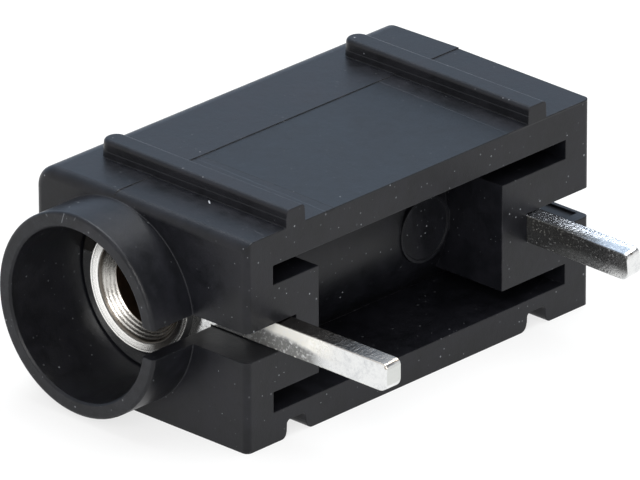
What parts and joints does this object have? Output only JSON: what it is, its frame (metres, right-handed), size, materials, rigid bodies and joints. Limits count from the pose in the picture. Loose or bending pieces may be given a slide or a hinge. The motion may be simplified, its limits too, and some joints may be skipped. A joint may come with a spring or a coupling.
{
  "type": "banana socket",
  "caption": "Round socket for a 4 mm plug in a ribbed rectangular plastic block, with a short collar, a stepped metal mouth and flat solder pins out of one side.",
  "frame": {"origin": "centre of the bounding box at its lowest level, the grooved side the part lies on", "axes": "+Y is the way the plug goes in, +X is the way the solder pins point, +Z is the ribbed side"},
  "size_m": [0.0202, 0.0256, 0.0113],
  "materials": {
    "black_plastic": "moulded satin black",
    "nickel": "turned, nickel plated",
    "tin": "flat sheet, tinned"
  },
  "bodies": {
    "root": {"housing": "black_plastic", "contact_sleeve": "nickel", "front_pin": "tin", "rear_pin": "tin"}
  },
  "joints": []
}
